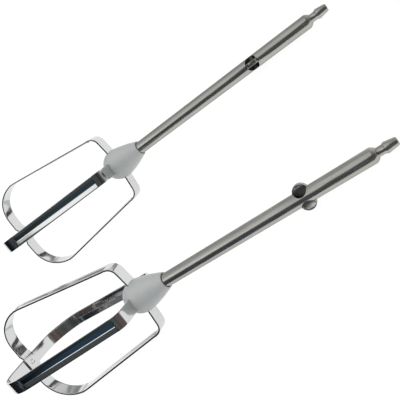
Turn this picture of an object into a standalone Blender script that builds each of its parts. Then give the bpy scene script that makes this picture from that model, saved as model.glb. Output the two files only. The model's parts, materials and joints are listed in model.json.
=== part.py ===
"""Pair of hand-mixer beaters lying side by side.

Each beater is built upright in its own frame: +Z runs up the shaft to the drive tip, and the two
blade loops cross at the frame's origin. The inner loop lies in the frame's XZ plane and the outer
loop in its YZ plane. An empty then lays each beater on the table, resting on two blades and the
shaft, with the shaft along +X.
"""

import math

import bmesh
import bpy
from mathutils import Matrix, Vector

MM = 0.001

# Shaft, measured up from the crossing of the loops (all driving dimensions in millimetres)
ROD_RADIUS = 3.0
ROD_FOOT = 79.9
ROD_TOP = 189.9
NECK_FOOT = 191.3
NECK_TOP = 193.5
HEAD_WIDEST = 194.4
TIP_END = 198.7
CHAMFER_RADIUS = 2.1
NECK_RADIUS = 1.7
HEAD_RADIUS = 2.15
TIP_RADIUS = 1.6
SPIGOT_RADIUS = 2.0
RIVET_RADIUS = 3.0
RIVET_TOP = 77.4
RIVET_FOOT = 76.2

# Drive ears, pinched out of the shaft between two round punches
EAR_HEIGHT = 162.7
EAR_REACH = 5.4
EAR_RADIUS = 3.1
EAR_WEB = 1.4
PUNCH_RADIUS = 2.9
PUNCH_OFFSET = 3.85
PUNCH_CLEAR = 0.03  # each punch stops this far off the ear's own face
PUNCH_LENGTH = 6.0

# Blade loops, bent from flat strip with a pressed channel along each arm
STRIP_WIDTH = 6.3
STRIP_THICK = 0.8
CHANNEL_DEPTH = 0.5
CHANNEL_HALF = 2.3
CHANNEL_TOP = 73.0
CHANNEL_FOOT = 18.0
SHOULDER_OUT = 17.4
BEND_RADIUS = 4.4
BELLY_OUT = 26.3
BELLY_HEIGHT = 13.5
BELLY_RADIUS = 21.0
HEEL_OUT = 18.4
HEEL_HEIGHT = 0.4
HEEL_RADIUS = 13.7
JOGGLE_INNER = 3.5
JOGGLE_OUTER = 5.2
INNER_TOP = 79.2
INNER_SHOULDER = 77.9
INNER_CROSSING = 1.1
OUTER_TOP = 78.1
OUTER_SHOULDER = 77.4
OUTER_CROSSING = 0.0
EYE_RADIUS = 2.3

# Moulded collar: (radius, height) down its outer side
COLLAR_PROFILE = (
    (3.45, 94.2),
    (3.8, 93.9),
    (4.6, 91.5),
    (5.65, 88.4),
    (6.5, 85.4),
    (7.2, 82.4),
    (7.6, 80.0),
    (7.65, 78.6),
    (7.4, 77.1),
    (6.9, 75.7),
    (6.0, 74.2),
    (5.0, 73.1),
    (3.8, 72.2),
    (2.1, 71.5),
)
COLLAR_FOOT = 71.3
COLLAR_BORE = 3.3
COLLAR_BORE_FOOT = 75.9
GAP = 0.3

# How the pair lies on the table: where each crossing stands, and the second one's turn
FIRST_BEATER = (-98.0, 35.8)
SECOND_BEATER = (-98.15, -36.75)
SECOND_YAW = math.radians(1.5)

AROUND = 48


def clear_scene():
    for obj in list(bpy.data.objects):
        bpy.data.objects.remove(obj, do_unlink=True)


def collection(name, hidden=False):
    made = bpy.data.collections.new(name)
    bpy.context.scene.collection.children.link(made)
    made.hide_render = hidden
    return made


def material(name, color, roughness, metallic):
    made = bpy.data.materials.new(name)
    made.use_nodes = True
    shader = made.node_tree.nodes["Principled BSDF"]
    shader.inputs["Base Color"].default_value = (*color, 1.0)
    shader.inputs["Roughness"].default_value = roughness
    shader.inputs["Metallic"].default_value = metallic
    return made


def mesh_object(name, mesh, where, frame, look=None):
    made = bpy.data.objects.new(name, mesh)
    where.objects.link(made)
    made.parent = frame
    if look:
        mesh.materials.append(look)
    return made


def cutter(name, mesh, where, frame):
    made = mesh_object(name, mesh, where, frame)
    made.hide_render = True
    made.display_type = "WIRE"
    return made


def boolean(target, tool, operation):
    step = target.modifiers.new(tool.name, "BOOLEAN")
    step.operation = operation
    step.solver = "EXACT"
    step.object = tool


def finish_mesh(bm, name, smooth=True, sharp_angle=32.0):
    bmesh.ops.recalc_face_normals(bm, faces=bm.faces)
    for face in bm.faces:
        face.smooth = smooth
    mesh = bpy.data.meshes.new(name)
    bm.to_mesh(mesh)
    bm.free()
    mesh.set_sharp_from_angle(angle=math.radians(sharp_angle))
    return mesh


def turned(name, profile, foot=None):
    """A solid of revolution about Z from (radius, height) pairs, closed on the axis at both ends."""
    top = Vector((0, 0, profile[0][1])) * MM
    low = Vector((0, 0, profile[-1][1] if foot is None else foot)) * MM
    bm = bmesh.new()
    points = [bm.verts.new(top)]
    points += [bm.verts.new(Vector((r, 0, z)) * MM) for r, z in profile]
    points.append(bm.verts.new(low))
    edges = [bm.edges.new(pair) for pair in zip(points, points[1:])]
    bmesh.ops.spin(
        bm,
        geom=points + edges,
        cent=(0, 0, 0),
        axis=(0, 0, 1),
        angle=math.tau,
        steps=AROUND,
        use_merge=True,
    )
    bmesh.ops.remove_doubles(bm, verts=bm.verts, dist=1e-6)
    return finish_mesh(bm, name)


def cylinder(name, radius, low, high, turn=None, centre=(0, 0, 0), sides=AROUND):
    """A capped cylinder along Z from low to high, turned and then moved to its centre."""
    bm = bmesh.new()
    bmesh.ops.create_cone(
        bm,
        cap_ends=True,
        segments=sides,
        radius1=radius * MM,
        radius2=radius * MM,
        depth=(high - low) * MM,
        matrix=Matrix.Translation((0, 0, (low + high) / 2 * MM)),
    )
    if turn:
        bmesh.ops.transform(bm, matrix=turn, verts=bm.verts)
    bmesh.ops.translate(bm, vec=Vector(centre) * MM, verts=bm.verts)
    return finish_mesh(bm, name)


def block(name, low, high):
    bm = bmesh.new()
    bmesh.ops.create_cube(bm, size=1.0)
    size = Vector(high) - Vector(low)
    middle = (Vector(high) + Vector(low)) / 2
    bmesh.ops.scale(bm, vec=size * MM, verts=bm.verts)
    bmesh.ops.translate(bm, vec=middle * MM, verts=bm.verts)
    return finish_mesh(bm, name, smooth=False)


def rounded_path(corners, radii, step_degrees=9.0):
    """The corner list with each inner corner rounded to its radius, as (out, up) pairs."""
    path = [Vector(corners[0])]
    for before, corner, after, radius in zip(corners, corners[1:], corners[2:], radii):
        corner = Vector(corner)
        back = (Vector(before) - corner).normalized()
        ahead = (Vector(after) - corner).normalized()
        half = back.angle(ahead) / 2
        centre = corner + (back + ahead).normalized() * radius / math.sin(half)
        start = corner + back * radius / math.tan(half)
        turn = math.pi - 2 * half
        steps = max(2, math.ceil(math.degrees(turn) / step_degrees))
        side = 1 if back.x * ahead.y - back.y * ahead.x < 0 else -1
        for i in range(steps + 1):
            angle = side * turn * i / steps
            arm = start - centre
            path.append(centre + Matrix.Rotation(angle, 2) @ arm)
    path.append(Vector(corners[-1]))
    return path


def half_loop(top, shoulder, crossing):
    """One half of a loop's middle line, from the collar's axis down to the crossing."""
    corners = (
        (0.0, top),
        (6.5, top),
        (SHOULDER_OUT, shoulder),
        (BELLY_OUT, BELLY_HEIGHT),
        (HEEL_OUT, HEEL_HEIGHT),
        (JOGGLE_OUTER, 0.0),
        (JOGGLE_INNER, crossing),
        (0.0, crossing),
    )
    radii = (8.0, BEND_RADIUS, BELLY_RADIUS, HEEL_RADIUS, 1.0, 1.0)
    if crossing == 0.0:
        corners = corners[:5] + corners[7:]
        radii = radii[:4]
    return rounded_path(corners, radii)


def stations(path):
    """(point, outward normal, distance along) at each bend point and around the channel's ends."""
    along = [0.0]
    for a, b in zip(path, path[1:]):
        along.append(along[-1] + (b - a).length)

    def at_height(height):
        for a, b, s in zip(path, path[1:], along):
            if a.x > SHOULDER_OUT - 2 and min(a.y, b.y) <= height <= max(a.y, b.y):
                return s + (b - a).length * (a.y - height) / (a.y - b.y)
        return None

    first, last = at_height(CHANNEL_TOP), at_height(CHANNEL_FOOT)
    ramp = [CHANNEL_HALF * (1 - math.cos(math.radians(a))) for a in (0, 35, 62, 90)]
    wanted = set(round(s, 4) for s in along)
    wanted |= set(round(first + r, 4) for r in ramp) | set(round(last - r, 4) for r in ramp)
    kept = []
    for s in sorted(wanted):
        if not kept or s - kept[-1] > 0.25:
            kept.append(s)
    normals = []
    for i in range(len(path)):
        a, b = path[max(0, i - 1)], path[min(len(path) - 1, i + 1)]
        run = (b - a).normalized()
        normals.append(Vector((-run.y, run.x)))
    found = []
    for s in kept:
        i = max(k for k in range(len(along) - 1) if along[k] <= s + 1e-6)
        share = (s - along[i]) / max(along[i + 1] - along[i], 1e-9)
        point = path[i].lerp(path[i + 1], share)
        normal = normals[i].lerp(normals[i + 1], share).normalized()
        found.append((point, normal, s))
    found[0] = (path[0], Vector((0, 1)), 0.0)
    found[-1] = (path[-1], Vector((0, -1)), along[-1])
    return found, first + CHANNEL_HALF, last - CHANNEL_HALF


def channel_depth(across, s, start, end):
    """How far the pressed channel sinks the strip here: a V along the arm with half-round ends."""
    past = max(start - s, s - end, 0.0)
    share = math.hypot(across, past) / CHANNEL_HALF
    return CHANNEL_DEPTH * max(0.0, 1.0 - max(share, 0.08))


def loop_mesh(name, top, shoulder, crossing):
    """A closed strip loop in the XZ plane, lofted through its flat and its channelled sections."""
    found, start, end = stations(half_loop(top, shoulder, crossing))
    half = STRIP_WIDTH / 2
    across = (-half, -CHANNEL_HALF, -0.45, 0.0, 0.45, CHANNEL_HALF, half)
    rings = []
    bm = bmesh.new()
    both_sides = [(p, n, s, 1) for p, n, s in found]
    both_sides += [(p, n, s, -1) for p, n, s in reversed(found[1:-1])]
    for point, normal, s, side in both_sides:
        ring = []
        for face, widths in ((1, across), (-1, reversed(across))):
            for v in widths:
                sink = channel_depth(v, s, start, end)
                place = point + normal * (face * STRIP_THICK / 2 - sink)
                ring.append(bm.verts.new(Vector((side * place.x, v, place.y)) * MM))
        rings.append(ring)
    for ring, following in zip(rings, rings[1:] + rings[:1]):
        for i in range(len(ring)):
            k = (i + 1) % len(ring)
            bm.faces.new((ring[i], ring[k], following[k], following[i]))
    return finish_mesh(bm, name, sharp_angle=24.0)


def add_shaft(letter, frame, parts, cutters, look, ear_turn):
    """The turned rod with its pinched ears, its drive tip and the riveted spigot in the collar."""
    profile = (
        (TIP_RADIUS, TIP_END),
        (HEAD_RADIUS, HEAD_WIDEST),
        (NECK_RADIUS, NECK_TOP),
        (NECK_RADIUS, NECK_FOOT),
        (CHAMFER_RADIUS, NECK_FOOT),
        (ROD_RADIUS, ROD_TOP),
        (ROD_RADIUS, ROD_FOOT),
        (SPIGOT_RADIUS, ROD_FOOT),
        (SPIGOT_RADIUS, RIVET_TOP),
        (RIVET_RADIUS, RIVET_TOP),
        (RIVET_RADIUS, RIVET_FOOT + 0.4),
        (RIVET_RADIUS - 0.5, RIVET_FOOT),
    )
    name = f"shaft_{letter}"
    shaft = mesh_object(name, turned(name, profile), parts, frame, look)
    lie = Matrix.Rotation(ear_turn, 4, "Z") @ Matrix.Rotation(math.radians(90), 4, "X")
    out = Vector((math.cos(ear_turn), math.sin(ear_turn), 0))
    up = Vector((0, 0, EAR_HEIGHT))
    for side, label in ((1, "left"), (-1, "right")):
        centre = up + out * side * (EAR_REACH - EAR_RADIUS)
        mesh = cylinder("ear", EAR_RADIUS, -EAR_WEB / 2, EAR_WEB / 2, lie, centre, 32)
        boolean(shaft, cutter(f"ear_{label}_{letter}", mesh, cutters, frame), "UNION")
    for side, label in ((1, "left"), (-1, "right")):
        centre = up + out * side * PUNCH_OFFSET
        near = EAR_WEB / 2 + PUNCH_CLEAR
        for low, high, face in ((near, PUNCH_LENGTH, "front"), (-PUNCH_LENGTH, -near, "back")):
            mesh = cylinder("punch", PUNCH_RADIUS, low, high, lie, centre, 40)
            tool = cutter(f"punch_{label}_{face}_{letter}", mesh, cutters, frame)
            boolean(shaft, tool, "DIFFERENCE")
    return shaft


def add_loop(kind, letter, frame, parts, cutters, look):
    """One blade loop, with the eye in its top band that the shaft's spigot is riveted through."""
    name = f"{kind}_loop_{letter}"
    if kind == "inner":
        mesh = loop_mesh(name, INNER_TOP, INNER_SHOULDER, INNER_CROSSING)
        level = INNER_TOP
    else:
        mesh = loop_mesh(name, OUTER_TOP, OUTER_SHOULDER, OUTER_CROSSING)
        mesh.transform(Matrix.Rotation(math.radians(90), 4, "Z"))
        level = OUTER_TOP
    loop = mesh_object(name, mesh, parts, frame, look)
    eye = cylinder("eye", EYE_RADIUS, level - 2, level + 2, sides=32)
    boolean(loop, cutter(f"eye_{kind}_{letter}", eye, cutters, frame), "DIFFERENCE")
    return loop


def add_collar(letter, frame, parts, cutters, look):
    """The moulded collar, open for the shaft and for the four shoulders of the loops."""
    name = f"collar_{letter}"
    collar = mesh_object(name, turned(name, COLLAR_PROFILE, COLLAR_FOOT), parts, frame, look)
    bore = cylinder("bore", COLLAR_BORE, COLLAR_BORE_FOOT, 96.0)
    boolean(collar, cutter(f"collar_bore_{letter}", bore, cutters, frame), "DIFFERENCE")
    side = STRIP_WIDTH / 2 + GAP
    rise = STRIP_THICK / 2 + GAP
    slots = (
        ("inner", (-12, -side, INNER_TOP - rise), (12, side, INNER_TOP + rise)),
        ("outer", (-side, -12, OUTER_TOP - rise), (side, 12, OUTER_TOP + rise)),
    )
    for kind, low, high in slots:
        tool = cutter(f"slot_{kind}_{letter}", block("slot", low, high), cutters, frame)
        boolean(collar, tool, "DIFFERENCE")
    return collar


def resting_lean():
    """The shaft's slope and the crossing's height when two blades and the shaft touch the table."""
    path = half_loop(OUTER_TOP, OUTER_SHOULDER, OUTER_CROSSING)
    path += half_loop(INNER_TOP, INNER_SHOULDER, INNER_CROSSING)
    reach = STRIP_THICK / 2 + STRIP_WIDTH / 2
    contacts = [(p.y, (p.x + reach) * math.sqrt(0.5)) for p in path]
    lean = 0.1
    for _ in range(20):
        low = max(contacts, key=lambda c: c[0] * math.sin(lean) + c[1] * math.cos(lean))
        lean = math.atan2(low[1] - ROD_RADIUS, ROD_TOP - low[0])
    return lean, low[0] * math.sin(lean) + low[1] * math.cos(lean)


def add_frame(letter, place, yaw):
    """The empty that lays a beater down: blades at 45 degrees to the table, shaft along +X."""
    lean, height = resting_lean()
    frame = bpy.data.objects.new(f"beater_{letter}", None)
    bpy.context.scene.collection.objects.link(frame)
    along = Vector((math.cos(lean), 0, -math.sin(lean)))
    above = Vector((math.sin(lean), 0, math.cos(lean)))
    left = Vector((0, 1, 0))
    inner = (left + above) / math.sqrt(2)
    outer = (above - left) / math.sqrt(2)
    axes = Matrix((inner, outer, along)).transposed().to_4x4()
    turn = Matrix.Rotation(yaw, 4, "Z") @ axes
    frame.rotation_euler = turn.to_euler()
    frame.location = Vector((place[0], place[1], height)) * MM
    return frame


def add_beater(letter, place, yaw, ear_turn, where, looks):
    parts, cutters = where
    steel, strip, plastic = looks
    frame = add_frame(letter, place, yaw)
    add_shaft(letter, frame, parts, cutters, steel, ear_turn)
    add_collar(letter, frame, parts, cutters, plastic)
    add_loop("inner", letter, frame, parts, cutters, strip)
    add_loop("outer", letter, frame, parts, cutters, strip)


def main():
    clear_scene()
    where = collection("beater_pair"), collection("cutters", hidden=True)
    looks = (
        material("polished_rod", (0.62, 0.61, 0.58), 0.22, 1.0),
        material("bright_strip", (0.78, 0.79, 0.78), 0.12, 1.0),
        material("grey_plastic", (0.42, 0.44, 0.43), 0.45, 0.0),
    )
    add_beater("a", FIRST_BEATER, 0.0, math.radians(90), where, looks)
    add_beater("b", SECOND_BEATER, SECOND_YAW, 0.0, where, looks)


main()
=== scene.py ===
"""Looks for a pair of hand-mixer beaters lying on a white table.

Each beater's pieces are built upright in their own frame, in millimetres scaled to metres: +Z runs up
the shaft, the blade loops cross at the origin, the inner loop is in the XZ plane and the outer loop in
the YZ plane. beater_matrix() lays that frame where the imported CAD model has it.
"""

import json
import math

import bmesh
import bpy
from mathutils import Matrix, Quaternion, Vector


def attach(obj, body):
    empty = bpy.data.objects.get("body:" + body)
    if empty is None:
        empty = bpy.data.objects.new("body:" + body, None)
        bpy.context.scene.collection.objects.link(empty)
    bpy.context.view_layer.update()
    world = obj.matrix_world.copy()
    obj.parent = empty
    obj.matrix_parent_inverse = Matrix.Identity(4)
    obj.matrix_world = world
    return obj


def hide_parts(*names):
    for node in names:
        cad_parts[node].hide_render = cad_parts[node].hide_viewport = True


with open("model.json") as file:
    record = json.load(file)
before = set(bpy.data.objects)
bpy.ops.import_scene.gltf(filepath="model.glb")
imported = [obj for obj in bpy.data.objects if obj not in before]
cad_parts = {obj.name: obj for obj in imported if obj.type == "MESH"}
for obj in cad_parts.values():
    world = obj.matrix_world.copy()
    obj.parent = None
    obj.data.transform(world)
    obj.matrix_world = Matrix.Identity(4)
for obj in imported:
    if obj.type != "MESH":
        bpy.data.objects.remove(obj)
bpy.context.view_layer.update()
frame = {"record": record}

MM = 0.001
TINY = 1e-6
SHARP_ANGLE = 40.0  # degrees between two faces, above which their edge isn't shaded smooth

# Shaft: radii, and heights above the crossing of the loops, in millimetres like all sizes below
TIP_END = 198.7
ROD_RADIUS = 3.0
NECK_RADIUS = 1.7
HEAD_RADIUS = 2.15
CHAMFER_RADIUS = 2.15
ROD_FOOT = 80.0
ROD_RINGS = (189.8, 182.0, 172.0, 150.0, 120.0, 90.0, ROD_FOOT)
SHAFT_PROFILE = (
    (0.0, TIP_END),
    (1.3, TIP_END),
    (1.58, 198.35),
    (2.12, 194.75),
    (HEAD_RADIUS, 194.5),
    (2.02, 194.25),
    (1.75, 193.6),
    (NECK_RADIUS, 193.4),
    (NECK_RADIUS, 191.45),
    (1.8, 191.3),
    (2.0, 191.3),
    (CHAMFER_RADIUS, 191.2),
    (2.9, 190.05),
    *((ROD_RADIUS, height) for height in ROD_RINGS),
    (0.0, ROD_FOOT),
)
SHAFT_SIDES = 96

# Drive ears, pinched out of the shaft between two round punches with slightly domed ends
EAR_HEIGHT = 162.7
EAR_REACH = 5.4
EAR_RADIUS = 3.1
EAR_RIM = 1.9  # thickness at the rim
EAR_ROUND = 0.2
EAR_SIDES = 64
PUNCH_RADIUS = 2.9
PUNCH_OFFSET = 3.85
PUNCH_LENGTH = 6.0
PUNCH_RINGS = (0.6, 1.2, 1.8, 2.4, PUNCH_RADIUS)
PUNCH_SIDES = 48
DISH_OFFSET = 1.0  # from the rod's axis to the middle of the dish that a punch leaves
DISH_RADIUS = 9.0
DISH_FLOOR = 0.12  # from the ear's middle plane to the floor of the dish
WALL_SLACK = 0.05  # a face this close to a punch's side belongs to the sheared wall of its dent, which gets painted shade
EDGE_BEVEL = 0.2
BEVEL_ANGLE = 38.0  # degrees between two faces, above which their edge is bevelled

# Blade loops: the strip's section, and where the loops' middle lines run, as distances out from the
# shaft's axis and heights above the crossing
STRIP_WIDTH = 6.3
STRIP_THICK = 0.8
STRIP_SHARP_ANGLE = 30.0
EDGE_ROUND = 0.09
EDGE_TURNS = (30.0, 60.0)  # degrees round an edge where the section has points
FACE_SHARES = (0.04, 0.08, 0.13, 0.2, 0.3, 0.42, 0.56, 0.7, 0.85, 1.0)
BAND_OUT = 6.5
BAND_RADIUS = 8.0
SHOULDER_OUT = 17.4
BEND_RADIUS = 4.4
BELLY_OUT = 26.3
BELLY_HEIGHT = 13.5
BELLY_RADIUS = 21.0
HEEL_OUT = 18.4
HEEL_HEIGHT = 0.4
HEEL_RADIUS = 13.7
JOGGLE_INNER = 3.5
JOGGLE_OUTER = 5.2
JOGGLE_RADIUS = 1.0
INNER_TOP, INNER_SHOULDER, INNER_CROSSING = 79.2, 77.9, 0.95
OUTER_TOP, OUTER_SHOULDER, OUTER_CROSSING = 78.1, 77.4, 0.0
BEND_STEP = 2.5  # degrees between two points round a bend
COARSE_STEP = 1.0
FINE_STEP = 0.14
FINE_OUTSIDE = 1.0  # fine steps are taken this far out past a channel's end
FINE_INSIDE = 2.0  # and this far in from it
FINE_CROSSING = 7.0  # and this far to each side of the crossing
UV_LENGTH = 100.0  # millimetres of strip to one UV unit

# Channel pressed into each arm, with a narrow score along its bottom
CHANNEL_TOP = 73.7
CHANNEL_FOOT = 17.4
CHANNEL_DEPTH = 0.44
CHANNEL_HALF = 2.2
CHANNEL_BLEND = 0.06  # share of the depth over which the channel's rim is rounded
CHANNEL_END_RUN = 0.55  # length of the slope at each end
CHANNEL_DRIFT = (0.72, 0.32)  # the score's distance from the strip's middle, at the top and the foot
CHANNEL_FADE = 0.42  # share of the depth that is lost towards the foot
FADE_SPAN = (8 / 15, 13 / 15)  # shares of the arm between which that happens
INNER_RIDGE, OUTER_RIDGE = 1.0, 0.5  # how much of the channel shows as a ridge inside each loop
SCORE_DEPTH = 0.033
SCORE_HALF = 0.15
BEAD_HEIGHT = 0.14  # low bead that the press raises round the channel's ends
BEAD_HALF = 0.32

# Spot weld: a shallow ring under the inner loop's crossing
WELD_RADIUS = 0.95
WELD_DEPTH = 0.12
WELD_SPREAD = 0.28
WELD_REACH = 1.6  # in weld radii

# Collar: (radius, height) round its lip and then down its side
COLLAR_LIP = ((3.06, 93.2), (3.1, 93.9), (3.25, 94.15), (3.5, 94.15), (3.72, 93.95))
COLLAR_SIDE = (
    (3.9, 93.5),
    (4.6, 91.5),
    (5.65, 88.4),
    (6.5, 85.4),
    (7.2, 82.4),
    (7.6, 80.0),
    (7.65, 78.6),
    (7.4, 77.1),
    (6.9, 75.7),
    (6.0, 74.2),
    (5.0, 73.1),
    (3.8, 72.2),
    (2.1, 71.5),
)
COLLAR_FOOT = (0.0, 71.3)
COLLAR_SIDES = 128
COLLAR_SHARP_ANGLE = 60.0
SIDE_POINTS = 5  # points of the finished side for each one listed


# ---------------------------------------------------------------- scene helpers


def link(obj):
    bpy.context.scene.collection.objects.link(obj)
    return obj


def tip_axis(letter):
    """Where a beater's tip ends, and the way its shaft points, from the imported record's mounts."""
    tip = next(m for m in frame["record"]["mounts"] if m["name"] == f"tip_end_{letter}")
    return Vector(tip["pos_m"]), Vector(tip["axis"]).normalized()


SHAFT_SLOPE = tip_axis("a")[1].to_track_quat("X", "Z").to_euler()


def beater_matrix(letter):
    """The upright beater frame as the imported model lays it, read from its drive tip's mount."""
    tip, along = tip_axis(letter)
    left = Vector((0, 0, 1)).cross(along).normalized()
    above = along.cross(left)
    inner = (left + above).normalized()
    outer = (above - left).normalized()
    turn = Matrix((inner, outer, along)).transposed().to_4x4()
    return Matrix.Translation(tip - along * TIP_END * MM) @ turn


def add_piece(name, mesh, letter, node, look):
    """Lays the upright mesh in its place, so that the object itself sits at the origin as CAD nodes do."""
    mesh.transform(beater_matrix(letter))
    obj = link(bpy.data.objects.new(name, mesh))
    mesh.materials.append(look)
    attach(obj, f"beater_{letter}")
    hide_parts(node)
    return obj


def finish_mesh(bm, name, sharp_angle=SHARP_ANGLE):
    bmesh.ops.recalc_face_normals(bm, faces=bm.faces)
    for face in bm.faces:
        face.smooth = True
    mesh = bpy.data.meshes.new(name)
    bm.to_mesh(mesh)
    bm.free()
    mesh.set_sharp_from_angle(angle=math.radians(sharp_angle))
    return mesh


def spline(points, per_span):
    """A Catmull-Rom curve through 2D points."""
    pts = [Vector(p) for p in points]
    pts = [2 * pts[0] - pts[1]] + pts + [2 * pts[-1] - pts[-2]]
    out = []
    for a, b, c, d in zip(pts, pts[1:], pts[2:], pts[3:]):
        for i in range(per_span):
            t = i / per_span
            square = (2 * a - 5 * b + 4 * c - d) * t * t
            cube = (3 * b - a - 3 * c + d) * t**3
            out.append(0.5 * (2 * b + (c - a) * t + square + cube))
    out.append(pts[-2])
    return out


def circle(sides):
    """The angles of evenly spaced points round a whole turn."""
    return [math.tau * i / sides for i in range(sides)]


def revolve(name, profile, sides, sharp_angle=SHARP_ANGLE):
    """Turns (radius, height) pairs about Z; a radius of 0 closes that end."""
    bm = bmesh.new()
    rings = []
    for r, z in profile:
        if r < TINY:
            rings.append([bm.verts.new((0, 0, z * MM))])
            continue
        turned = [(r * math.cos(a) * MM, r * math.sin(a) * MM, z * MM) for a in circle(sides)]
        rings.append([bm.verts.new(place) for place in turned])
    for upper, lower in zip(rings, rings[1:]):
        for i in range(sides):
            k = (i + 1) % sides
            if len(upper) == 1:
                bm.faces.new((upper[0], lower[i], lower[k]))
            elif len(lower) == 1:
                bm.faces.new((upper[i], lower[0], upper[k]))
            else:
                bm.faces.new((upper[i], lower[i], lower[k], upper[k]))
    return finish_mesh(bm, name, sharp_angle)


# ---------------------------------------------------------------- blade loops


def rounded_path(corners, radii):
    """The corner list with each inner corner rounded to its radius, as (out, up) pairs."""
    path = [Vector(corners[0])]
    for before, corner, after, radius in zip(corners, corners[1:], corners[2:], radii):
        corner = Vector(corner)
        back = (Vector(before) - corner).normalized()
        ahead = (Vector(after) - corner).normalized()
        half = back.angle(ahead) / 2
        centre = corner + (back + ahead).normalized() * radius / math.sin(half)
        start = corner + back * radius / math.tan(half)
        turn = math.pi - 2 * half
        steps = max(3, math.ceil(math.degrees(turn) / BEND_STEP))
        side = 1 if back.x * ahead.y - back.y * ahead.x < 0 else -1
        for i in range(steps + 1):
            arm = Matrix.Rotation(side * turn * i / steps, 2) @ (start - centre)
            path.append(centre + arm)
    path.append(Vector(corners[-1]))
    return path


def half_loop(top, shoulder, crossing):
    """One half of a loop's middle line, from the collar's axis down to the crossing."""
    corners = [
        (0.0, top),
        (BAND_OUT, top),
        (SHOULDER_OUT, shoulder),
        (BELLY_OUT, BELLY_HEIGHT),
        (HEEL_OUT, HEEL_HEIGHT),
    ]
    radii = [BAND_RADIUS, BEND_RADIUS, BELLY_RADIUS, HEEL_RADIUS]
    if crossing > 0.0:
        corners += [(JOGGLE_OUTER, 0.0), (JOGGLE_INNER, crossing)]
        radii += [JOGGLE_RADIUS, JOGGLE_RADIUS]
    return rounded_path(corners + [(0.0, crossing)], radii)


def resample(path, fine_zones):
    """(point, normal, distance along) at even steps, finer in the given zones of distance."""
    along = [0.0]
    for a, b in zip(path, path[1:]):
        along.append(along[-1] + (b - a).length)
    runs = [(b - a).normalized() for a, b in zip(path, path[1:])]
    normals = [Vector((0, 1))]
    for a, b in zip(runs, runs[1:]):
        mean = (a + b).normalized()
        normals.append(Vector((-mean.y, mean.x)))
    normals.append(Vector((0, -1)))
    out = []
    s = 0.0
    i = 0
    while s < along[-1] - TINY:
        while along[i + 1] < s:
            i += 1
        share = (s - along[i]) / max(along[i + 1] - along[i], TINY)
        normal = normals[i].lerp(normals[i + 1], share).normalized()
        out.append((path[i].lerp(path[i + 1], share), normal, s))
        near = any(low <= s <= high for low, high in fine_zones)
        s += FINE_STEP if near else COARSE_STEP
    if along[-1] - out[-1][2] < FINE_STEP / 2:
        out.pop()
    out.append((path[-1], normals[-1], along[-1]))
    return out


def distance_at(path, height):
    """Distance along the path where its long arm passes this height."""
    arm_from = SHOULDER_OUT - 2.0
    s = 0.0
    for a, b in zip(path, path[1:]):
        if a.x > arm_from and min(a.y, b.y) <= height <= max(a.y, b.y):
            return s + (b - a).length * (a.y - height) / (a.y - b.y)
        s += (b - a).length
    return s


def clamp(x):
    return min(max(x, 0.0), 1.0)


def channel_middle(s, start, end):
    """How far the score lies off the strip's middle: it drifts in from the shoulder to the foot."""
    top, foot = CHANNEL_DRIFT
    return top + clamp((s - start) / (end - start)) * (foot - top)


def channel_sink(across, s, start, end):
    """How far the pressed channel sinks the strip: two shallow flanks down to a narrow score."""
    past = max(start - s, s - end, 0.0)
    side = across - channel_middle(s, start, end)
    slope = 1.0 - math.hypot(side / CHANNEL_HALF, past / CHANNEL_END_RUN)
    flank = 0.5 * (slope + math.hypot(slope, CHANNEL_BLEND))
    low, high = FADE_SPAN
    fade = 1.0 - CHANNEL_FADE * clamp(((s - start) / (end - start) - low) / (high - low))
    score = math.exp(-((side / SCORE_HALF) ** 2) - (past / SCORE_HALF) ** 2)
    outside = 1.0 + slope * CHANNEL_END_RUN / BEAD_HALF
    bead = math.exp(-outside * outside) * min(past / BEAD_HALF, 1.0)
    return fade * CHANNEL_DEPTH * flank + SCORE_DEPTH * score - BEAD_HEIGHT * bead


def weld_sink(from_weld):
    """How deep the weld's ring is at this distance from its middle."""
    if from_weld >= WELD_RADIUS * WELD_REACH:
        return 0.0
    return WELD_DEPTH * math.exp(-(((from_weld - WELD_RADIUS) / WELD_SPREAD) ** 2))


def section(middle):
    """(across, face) round the strip's section, with rounded edges and its points closest at the middle."""
    top = STRIP_THICK / 2
    half = STRIP_WIDTH / 2
    inner = half - EDGE_ROUND
    flat = top - EDGE_ROUND
    face = [middle - share * (inner + middle) for share in reversed(FACE_SHARES)]
    face += [middle] + [middle + share * (inner - middle) for share in FACE_SHARES]
    turns = [math.radians(a) for a in EDGE_TURNS]
    edge = [(EDGE_ROUND * math.sin(a), EDGE_ROUND * math.cos(a)) for a in turns]
    points = [(v, top) for v in face]
    points += [(inner + sine, flat + cosine) for sine, cosine in edge]
    points += [(half, flat), (half, -flat)]
    points += [(inner + cosine, -flat - sine) for sine, cosine in edge]
    points += [(v, -top) for v in reversed(face)]
    points += [(-inner - sine, -flat - cosine) for sine, cosine in edge]
    points += [(-half, -flat), (-half, flat)]
    points += [(-inner - cosine, flat + sine) for sine, cosine in edge]
    return points


def skin(bm, uv, rings, sections, lengths):
    """Joins each ring of the loop to the next one, with UVs along and across the strip."""
    for j, (ring, shape) in enumerate(zip(rings, sections)):
        following = rings[(j + 1) % len(rings)]
        here, there = lengths[j] / UV_LENGTH, lengths[j + 1] / UV_LENGTH
        for i in range(len(ring)):
            k = (i + 1) % len(ring)
            face = bm.faces.new((ring[i], ring[k], following[k], following[i]))
            one, other = shape[i][0] / UV_LENGTH + 0.5, shape[k][0] / UV_LENGTH + 0.5
            corners = ((here, one), (here, other), (there, other), (there, one))
            for corner, place in zip(face.loops, corners):
                corner[uv].uv = place


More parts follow.
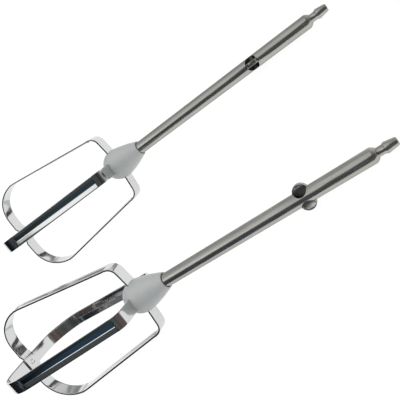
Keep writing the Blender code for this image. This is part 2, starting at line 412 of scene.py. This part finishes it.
def loop_mesh(name, top, shoulder, crossing, weld_side, ridge):
    """A closed strip loop in the XZ plane with channelled arms and its spot weld at the crossing."""
    path = half_loop(top, shoulder, crossing)
    start = distance_at(path, CHANNEL_TOP)
    end = distance_at(path, CHANNEL_FOOT)
    total = sum((b - a).length for a, b in zip(path, path[1:]))
    fine_zones = (
        (start - FINE_OUTSIDE, start + FINE_INSIDE),
        (end - FINE_INSIDE, end + FINE_OUTSIDE),
        (total - FINE_CROSSING, total),
    )
    found = resample(path, fine_zones)
    start += CHANNEL_END_RUN
    end -= CHANNEL_END_RUN
    both = [(p, n, s, 1) for p, n, s in found]
    both += [(p, n, s, -1) for p, n, s in reversed(found[1:-1])]
    lengths = [s if side > 0 else 2 * total - s for _, _, s, side in both] + [2 * total]
    sections = [section(channel_middle(s, start, end)) for _, _, s, _ in both]
    bm = bmesh.new()
    uv = bm.loops.layers.uv.new("strip")
    rings = []
    for (point, normal, s, side), shape in zip(both, sections):
        ring = []
        for across, lift in shape:
            sink = channel_sink(across, s, start, end)
            if lift < 0:
                sink *= ridge
            if lift * weld_side > 0:
                sink += weld_side * weld_sink(math.hypot(across, total - s))
            place = point + normal * (lift - sink)
            ring.append(bm.verts.new(Vector((side * place.x, across, place.y)) * MM))
        rings.append(ring)
    skin(bm, uv, rings, sections, lengths)
    return finish_mesh(bm, name, STRIP_SHARP_ANGLE)


def add_loop(kind, letter, look):
    name = f"{kind}_blade_{letter}"
    if kind == "inner":
        mesh = loop_mesh(name, INNER_TOP, INNER_SHOULDER, INNER_CROSSING, -1, INNER_RIDGE)
    else:
        mesh = loop_mesh(name, OUTER_TOP, OUTER_SHOULDER, OUTER_CROSSING, 0, OUTER_RIDGE)
        mesh.transform(Matrix.Rotation(math.radians(90), 4, "Z"))
    return add_piece(name, mesh, letter, f"{kind}_loop_{letter}", look)


# ---------------------------------------------------------------- shaft and collar


def ear_mesh():
    """A round ear lying on the XY plane, with both its rims rounded over."""
    flat = EAR_RIM / 2 - EAR_ROUND
    turns = [math.radians(a) for a in (0, 30, 60, 90)]
    rim = [
        (EAR_RADIUS - EAR_ROUND * (1 - math.sin(a)), flat + EAR_ROUND * math.cos(a)) for a in turns
    ]
    profile = [(0, EAR_RIM / 2)] + rim + [(r, -z) for r, z in reversed(rim)] + [(0, -EAR_RIM / 2)]
    return revolve("ear", profile, EAR_SIDES)


def dish(x, y):
    """Height of a punch's domed end: part of a big ball centred nearer the rod's axis."""
    return DISH_FLOOR + ((x - DISH_OFFSET) ** 2 + y * y) / (2 * DISH_RADIUS)


def punch_mesh():
    """One punch along +Z: a round bar with a domed end."""
    bm = bmesh.new()
    rings = []
    for radius in PUNCH_RINGS:
        flat = [
            (PUNCH_OFFSET + radius * math.cos(a), radius * math.sin(a)) for a in circle(PUNCH_SIDES)
        ]
        rings.append([bm.verts.new(Vector((x, y, dish(x, y))) * MM) for x, y in flat])
    rings.append([bm.verts.new((v.co.x, v.co.y, PUNCH_LENGTH * MM)) for v in rings[-1]])
    bm.faces.new(rings[0])
    bm.faces.new(list(reversed(rings[-1])))
    for near, far in zip(rings, rings[1:]):
        for i in range(PUNCH_SIDES):
            k = (i + 1) % PUNCH_SIDES
            bm.faces.new((near[i], near[k], far[k], far[i]))
    return finish_mesh(bm, "punch")


def apply_modifiers(obj):
    graph = bpy.context.evaluated_depsgraph_get()
    made = bpy.data.meshes.new_from_object(obj.evaluated_get(graph))
    old = obj.data
    obj.modifiers.clear()
    obj.data = made
    bpy.data.meshes.remove(old)


def ear_tools(up, out, lie):
    """The meshes that make the ears and the boolean that each is for: two ears, then four punches."""
    tools = []
    for side in (1, -1):
        mesh = ear_mesh()
        centre = up + out * side * (EAR_REACH - EAR_RADIUS)
        mesh.transform(Matrix.Translation(centre * MM) @ lie)
        tools.append((mesh, "UNION"))
    for turn in (0.0, math.pi):
        for flip in (0.0, math.pi):
            mesh = punch_mesh()
            about = Matrix.Rotation(turn, 4, "Y") @ Matrix.Rotation(flip, 4, "X")
            mesh.transform(Matrix.Translation(up * MM) @ lie @ about)
            tools.append((mesh, "DIFFERENCE"))
    return tools


def pinch_ears(shaft, letter, ear_turn):
    """Unites two round ears with the rod and cuts the four punch dents beside them."""
    up = Vector((0, 0, EAR_HEIGHT))
    out = Vector((math.cos(ear_turn), math.sin(ear_turn), 0))
    lie = Matrix.Rotation(ear_turn, 4, "Z") @ Matrix.Rotation(math.radians(90), 4, "X")
    helpers = []
    for mesh, operation in ear_tools(up, out, lie):
        mesh.transform(beater_matrix(letter))
        tool = link(bpy.data.objects.new("tool", mesh))
        helpers.append(tool)
        step = shaft.modifiers.new("cut", "BOOLEAN")
        step.operation = operation
        step.solver = "EXACT"
        step.object = tool
    bevel = shaft.modifiers.new("edges", "BEVEL")
    bevel.width = EDGE_BEVEL * MM
    bevel.segments = 2
    bevel.limit_method = "ANGLE"
    bevel.angle_limit = math.radians(BEVEL_ANGLE)
    apply_modifiers(shaft)
    for tool in helpers:
        mesh = tool.data
        bpy.data.objects.remove(tool, do_unlink=True)
        bpy.data.meshes.remove(mesh)
    shaft.data.set_sharp_from_angle(angle=math.radians(SHARP_ANGLE))
    mark_walls(shaft, beater_matrix(letter) @ Matrix.Translation(up * MM) @ lie)


def mark_walls(shaft, ears):
    """Notes the sheared walls of the punch dents in an attribute that the finish reads to paint shade on
    them.
    """
    back = ears.inverted()
    marks = shaft.data.attributes.new("dent_wall_shade_mask", "FLOAT", "FACE")
    for face in shaft.data.polygons:
        x, y, z = back @ face.center / MM
        off_wall = abs(math.hypot(abs(x) - PUNCH_OFFSET, y) - PUNCH_RADIUS)
        in_rod = math.hypot(x, z) < ROD_RADIUS and abs(y) < PUNCH_RADIUS
        marks.data[face.index].value = float(in_rod and off_wall < WALL_SLACK)


def add_shaft(letter, ear_turn, look):
    name = f"drive_shaft_{letter}"
    mesh = revolve(name, SHAFT_PROFILE, SHAFT_SIDES)
    shaft = add_piece(name, mesh, letter, f"shaft_{letter}", look)
    pinch_ears(shaft, letter, ear_turn)
    shaft.data.name = name
    return shaft


def add_collar(letter, look):
    name = f"hub_collar_{letter}"
    side = [tuple(p) for p in spline(COLLAR_SIDE, SIDE_POINTS)]
    mesh = revolve(name, [*COLLAR_LIP, *side, COLLAR_FOOT], COLLAR_SIDES, COLLAR_SHARP_ANGLE)
    return add_piece(name, mesh, letter, f"collar_{letter}", look)


# ---------------------------------------------------------------- materials


class NodeTree:
    """Short calls for building a node tree."""

    def __init__(self, tree):
        self.tree = tree

    def add(self, kind, inputs=(), **settings):
        node = self.tree.nodes.new(kind)
        for key, value in settings.items():
            setattr(node, key, value)
        for key, value in dict(inputs).items():
            self.feed(node.inputs[key], value)
        return node

    def feed(self, socket, value):
        """Links another node's output to the socket, or sets a plain value on it."""
        if isinstance(value, bpy.types.NodeSocket):
            self.tree.links.new(value, socket)
        else:
            socket.default_value = value

    def remap(self, value, low, high, to_low, to_high):
        inputs = {0: value, 1: low, 2: high, 3: to_low, 4: to_high}
        return self.add("ShaderNodeMapRange", inputs).outputs[0]

    def math(self, operation, a, b=0.0):
        return self.add("ShaderNodeMath", {0: a, 1: b}, operation=operation).outputs[0]

    def mix(self, factor, a, b):
        """Colours a to b by the factor; a plain colour is given as (red, green, blue)."""
        a, b = [(*c, 1.0) if isinstance(c, tuple) else c for c in (a, b)]
        inputs = {"Factor": factor, 6: a, 7: b}
        return self.add("ShaderNodeMix", inputs, data_type="RGBA").outputs[2]

    def noise(self, vector, scale, detail, roughness=0.5):
        inputs = {"Vector": vector, "Scale": scale, "Detail": detail, "Roughness": roughness}
        return self.add("ShaderNodeTexNoise", inputs).outputs["Fac"]


class Finish(NodeTree):
    """A new material and its Principled shader."""

    def __init__(self, name):
        self.material = bpy.data.materials.new(name)
        self.material.use_nodes = True
        super().__init__(self.material.node_tree)
        self.shader = self.tree.nodes["Principled BSDF"]

    def set(self, key, value):
        self.feed(self.shader.inputs[key], value)

    def coordinates(self, kind):
        return self.add("ShaderNodeTexCoord").outputs[kind]

    def stretched(self, scale):
        """UV coordinates, scaled."""
        inputs = {"Vector": self.coordinates("UV"), "Scale": scale}
        return self.add("ShaderNodeMapping", inputs).outputs[0]

    def along_shaft(self, stretch):
        """Object coordinates turned to the shafts' slope, drawn out along them by the stretch."""
        source = self.coordinates("Object")
        inputs = {"Vector": source, "Rotation": SHAFT_SLOPE, "Scale": (stretch, 1.0, 1.0)}
        return self.add("ShaderNodeMapping", inputs, vector_type="TEXTURE").outputs[0]

    def bump(self, height, strength, distance, normal=None):
        inputs = {"Height": height, "Strength": strength, "Distance": distance * MM}
        if normal is not None:
            inputs["Normal"] = normal
        return self.add("ShaderNodeBump", inputs).outputs[0]


def rod_steel():
    """Ground and lightly polished rod: fine marks along its length, a mottled satin, and painted shade
    darkening the walls of the punch dents.
    """
    # The last tone is painted shade for the walls of the punch dents, which lie in the recesses beside the
    # ears.
    dark, light, painted_dent_shade = (0.38, 0.375, 0.35), (0.47, 0.465, 0.44), (0.055, 0.053, 0.045)
    n = Finish("satin_rod_steel")
    lines = n.noise(n.along_shaft(30.0), 2600.0, 3.0, 0.6)
    grain = n.noise(n.along_shaft(18.0), 1900.0, 3.0, 0.6)
    cloud = n.noise(n.along_shaft(4.0), 420.0, 2.0)
    mottle = n.math("ADD", n.math("MULTIPLY", grain, 0.6), n.math("MULTIPLY", cloud, 0.4))
    turned = n.mix(n.remap(mottle, 0.36, 0.64, 0.0, 1.0), dark, light)
    # Faces marked as the dents' walls get the painted shade instead of the turned tone.
    dent_wall_shade_mask = n.add("ShaderNodeAttribute", attribute_name="dent_wall_shade_mask").outputs["Fac"]
    n.set("Base Color", n.mix(dent_wall_shade_mask, turned, painted_dent_shade))
    n.set("Metallic", 0.93)
    n.set("Specular Tint", (0.55, 0.54, 0.52, 1))
    n.set("Roughness", n.remap(grain, 0.3, 0.7, 0.15, 0.27))
    n.set("Normal", n.bump(lines, 0.22, 0.02))
    return n.material


def strip_steel():
    """Bright polished strip with hairline rolling marks along it."""
    dark, light = (0.62, 0.63, 0.625), (0.68, 0.69, 0.685)
    n = Finish("bright_strip_steel")
    hair = n.noise(n.stretched((1.0, 60.0, 1.0)), 10.0, 2.0)
    rolled = n.noise(n.stretched((2.0, 90.0, 1.0)), 1.4, 2.0)
    cloud = n.noise(n.stretched((1.0, 3.0, 1.0)), 9.0, 3.0)
    n.set("Base Color", n.mix(cloud, dark, light))
    n.set("Metallic", 1.0)
    n.set("Roughness", n.remap(hair, 0.3, 0.7, 0.07, 0.13))
    n.set("Normal", n.bump(hair, 0.05, 0.02, n.bump(rolled, 0.5, 0.02)))
    return n.material


def collar_plastic():
    """Grey satin moulding with a faint orange peel."""
    dark, light = (0.45, 0.47, 0.465), (0.52, 0.54, 0.535)
    n = Finish("grey_collar_plastic")
    peel = n.noise(n.coordinates("Object"), 1400.0, 2.0)
    cloud = n.noise(n.coordinates("Object"), 170.0, 3.0)
    n.set("Base Color", n.mix(cloud, dark, light))
    n.set("Roughness", n.remap(peel, 0.3, 0.7, 0.38, 0.5))
    n.set("Specular IOR Level", 0.5)
    n.set("Coat Weight", 0.35)
    n.set("Coat Roughness", 0.3)
    n.set("Normal", n.bump(peel, 0.08, 0.03))
    return n.material


def table_white():
    """White sheet that gives off most of its own light, so hardly a shadow shows on it."""
    dark, light = (0.19, 0.19, 0.19), (0.21, 0.21, 0.21)
    n = Finish("white_table")
    fibre = n.noise(n.coordinates("Object"), 60.0, 3.0)
    n.set("Base Color", n.mix(fibre, dark, light))
    n.set("Roughness", 0.9)
    n.set("Specular IOR Level", 0.0)
    n.set("Emission Color", (1.0, 1.0, 1.0, 1))
    n.set("Emission Strength", 0.9)
    return n.material


# ---------------------------------------------------------------- studio

# The studio's places are in metres
CAMERA_PLACE = Vector((0.1340, -0.1184, 0.1528))
CAMERA_TARGET = Vector((0.012965, -0.001524, 0.0))
CAMERA_ROLL = -71.508
CAMERA_LENS = 45.96
CAMERA_SENSOR = 36.0
CAMERA_CLIP = (0.005, 20.0)
SHEET_FRONT, SHEET_BACK, SHEET_LEFT, SHEET_RIGHT = -0.12, 0.40, -1.5, 0.11
LAMPS = (  # name, place, size and energy
    ("overhead", (-0.1, 0.3, 1.3), 1.2, 5.0),
    ("front", (0.7, -0.9, 0.9), 1.0, 6.0),
)

# The room that the steel mirrors, by direction: azimuths go left from +X and elevations up from the
# horizon, in degrees. Each light is linear red, green and blue.
WHITE = (1.0, 1.0, 1.0)
HORIZON_LIGHT, WALL_LIGHT, CEILING_LIGHT = (0.78,) * 3, (0.5,) * 3, (0.88,) * 3
WALL_FROM = (5.0, 22.0)  # the elevations between which the horizon's light turns to the wall's
CEILING_FROM = (45.0, 70.0)
DARK_LIGHT = (0.074, 0.08, 0.084)
DARK_TOP = ((-150.0, 44.0), (-100.0, 63.0))  # the dark part's top rises between two azimuths
DARK_TOP_SOFT = 3.0
DARK_NEAR = (-125.0, 56.0, 64.0)  # azimuth, and the distances from it between which the dark ends
DARK_FAR = (-70.0, 45.0, 105.0)
# Patches painted one over the other: azimuth, half width, lowest and highest elevation, softness, light
WALL_PATCHES = (
    (-152.0, 30.0, 30.0, 68.0, 5.0, (1.3, 1.3, 1.3)),
    (135.0, 36.0, -30.0, 7.0, 3.0, (0.3, 0.3, 0.3)),
)
DARK_PATCHES = (
    (-90.0, 12.0, 14.0, 38.0, 4.0, (0.11, 0.115, 0.115)),
    (-45.0, 22.0, -30.0, 26.0, 8.0, (0.15, 0.11, 0.095)),
    (-36.0, 10.0, 21.0, 34.0, 3.0, (0.03, 0.032, 0.042)),
    (-15.0, 10.0, 7.0, 22.0, 3.0, (0.045, 0.046, 0.055)),
    (-108.0, 12.0, 20.0, 36.0, 4.0, (0.04, 0.056, 0.054)),
    (-114.0, 12.0, -30.0, 24.0, 4.0, (0.03, 0.058, 0.094)),
    (-136.0, 13.0, -30.0, 26.0, 1.5, (0.008, 0.012, 0.019)),
    (-129.5, 3.5, 14.0, 23.0, 1.5, (0.002, 0.004, 0.007)),
    (-142.0, 3.5, 4.0, 21.0, 1.5, (0.19, 0.2, 0.205)),
    (-133.0, 15.0, 22.0, 34.0, 2.5, (0.018, 0.026, 0.032)),
    (-170.0, 22.0, -30.0, 22.0, 6.0, (0.014, 0.016, 0.024)),
    (-171.0, 8.0, -30.0, 14.0, 4.0, (0.004, 0.005, 0.010)),
)


def add_camera():
    camera = link(bpy.data.objects.new("camera", bpy.data.cameras.new("camera")))
    aim = (CAMERA_PLACE - CAMERA_TARGET).to_track_quat("Z", "Y")
    roll = Quaternion((0, 0, 1), math.radians(CAMERA_ROLL))
    camera.matrix_world = Matrix.Translation(CAMERA_PLACE) @ (aim @ roll).to_matrix().to_4x4()
    camera.data.lens = CAMERA_LENS
    camera.data.sensor_width = CAMERA_SENSOR
    camera.data.clip_start, camera.data.clip_end = CAMERA_CLIP
    bpy.context.scene.camera = camera


class Room(NodeTree):
    """A world's light by direction."""

    def __init__(self, world):
        world.use_nodes = True
        super().__init__(world.node_tree)
        direction = self.add("ShaderNodeTexCoord").outputs["Generated"]
        x, y, z = self.add("ShaderNodeSeparateXYZ", {0: direction}).outputs
        one_radian = math.degrees(1.0)
        self.azimuth = self.math("MULTIPLY", self.math("ARCTAN2", y, x), one_radian)
        self.elevation = self.math("MULTIPLY", self.math("ARCSINE", z), one_radian)

    def away(self, centre):
        """Degrees between the direction's azimuth and the centre, 0 to 180."""
        shifted = self.math("ADD", self.azimuth, 540.0 - centre)
        wrapped = self.math("MODULO", shifted, 360.0)
        return self.math("ABSOLUTE", self.math("SUBTRACT", wrapped, 180.0))

    def patch(self, centre, half, low, high, soft):
        """1 inside the patch and 0 outside it."""
        side = self.remap(self.away(centre), half - soft, half + soft, 1.0, 0.0)
        floor = self.remap(self.elevation, low - soft / 2, low + soft / 2, 0.0, 1.0)
        roof = self.remap(self.elevation, high - soft, high + soft, 1.0, 0.0)
        return self.math("MULTIPLY", side, self.math("MULTIPLY", floor, roof))

    def painted(self, light, patches):
        for *shape, colour in patches:
            light = self.mix(self.patch(*shape), light, colour)
        return light

    def dark_part(self):
        """1 on the side that the pair is seen from, up to the dark part's top, and 0 elsewhere."""
        (start, start_height), (end, end_height) = DARK_TOP
        top = self.remap(self.azimuth, start, end, start_height, end_height)
        over = self.math("SUBTRACT", self.elevation, top)
        below = self.remap(over, -DARK_TOP_SOFT, DARK_TOP_SOFT, 1.0, 0.0)
        near, far = [
            self.remap(self.away(centre), low, high, 1.0, 0.0)
            for centre, low, high in (DARK_NEAR, DARK_FAR)
        ]
        return self.math("MULTIPLY", self.math("MAXIMUM", near, far), below)


def add_world():
    """A white tent, open and dark on the side the pair is seen from, and plain white to the camera."""
    world = bpy.data.worlds.new("studio")
    bpy.context.scene.world = world
    n = Room(world)
    light = n.mix(n.remap(n.elevation, *WALL_FROM, 0.0, 1.0), HORIZON_LIGHT, WALL_LIGHT)
    light = n.mix(n.remap(n.elevation, *CEILING_FROM, 0.0, 1.0), light, CEILING_LIGHT)
    light = n.painted(light, WALL_PATCHES)
    light = n.mix(n.dark_part(), light, DARK_LIGHT)
    light = n.painted(light, DARK_PATCHES)
    seen = n.add("ShaderNodeLightPath").outputs["Is Camera Ray"]
    background = n.tree.nodes["Background"]
    n.feed(background.inputs["Color"], n.mix(seen, light, WHITE))
    n.feed(background.inputs["Strength"], 1.0)


def add_floor():
    """A white sheet that ends in front of the pair, where the room beyond it is dark."""
    bm = bmesh.new()
    bmesh.ops.create_grid(bm, x_segments=8, y_segments=8, size=0.5)
    stretch = (SHEET_RIGHT - SHEET_LEFT, SHEET_BACK - SHEET_FRONT, 1.0)
    middle = ((SHEET_RIGHT + SHEET_LEFT) / 2, (SHEET_BACK + SHEET_FRONT) / 2, 0)
    bmesh.ops.scale(bm, vec=stretch, verts=bm.verts)
    bmesh.ops.translate(bm, vec=middle, verts=bm.verts)
    mesh = bpy.data.meshes.new("table")
    bm.to_mesh(mesh)
    bm.free()
    table = link(bpy.data.objects.new("table", mesh))
    mesh.materials.append(table_white())


def add_lamp(name, place, size, energy):
    """A soft round lamp aimed at the pair, which the polished steel doesn't mirror."""
    lamp = bpy.data.lights.new(name, "AREA")
    lamp.shape = "DISK"
    lamp.size = size
    lamp.energy = energy
    obj = link(bpy.data.objects.new(name, lamp))
    obj.location = place
    obj.rotation_euler = (-obj.location).to_track_quat("-Z", "Y").to_euler()
    obj.visible_glossy = False


# ---------------------------------------------------------------- put together

add_camera()
add_world()
add_floor()
for lamp in LAMPS:
    add_lamp(*lamp)
ROD, STRIP, PLASTIC = rod_steel(), strip_steel(), collar_plastic()
for letter, ear_turn in (("a", math.radians(90)), ("b", 0.0)):
    add_shaft(letter, ear_turn, ROD)
    add_collar(letter, PLASTIC)
    add_loop("inner", letter, STRIP)
    add_loop("outer", letter, STRIP)
bpy.context.scene.view_settings.view_transform = "Standard"

bpy.context.view_layer.update()
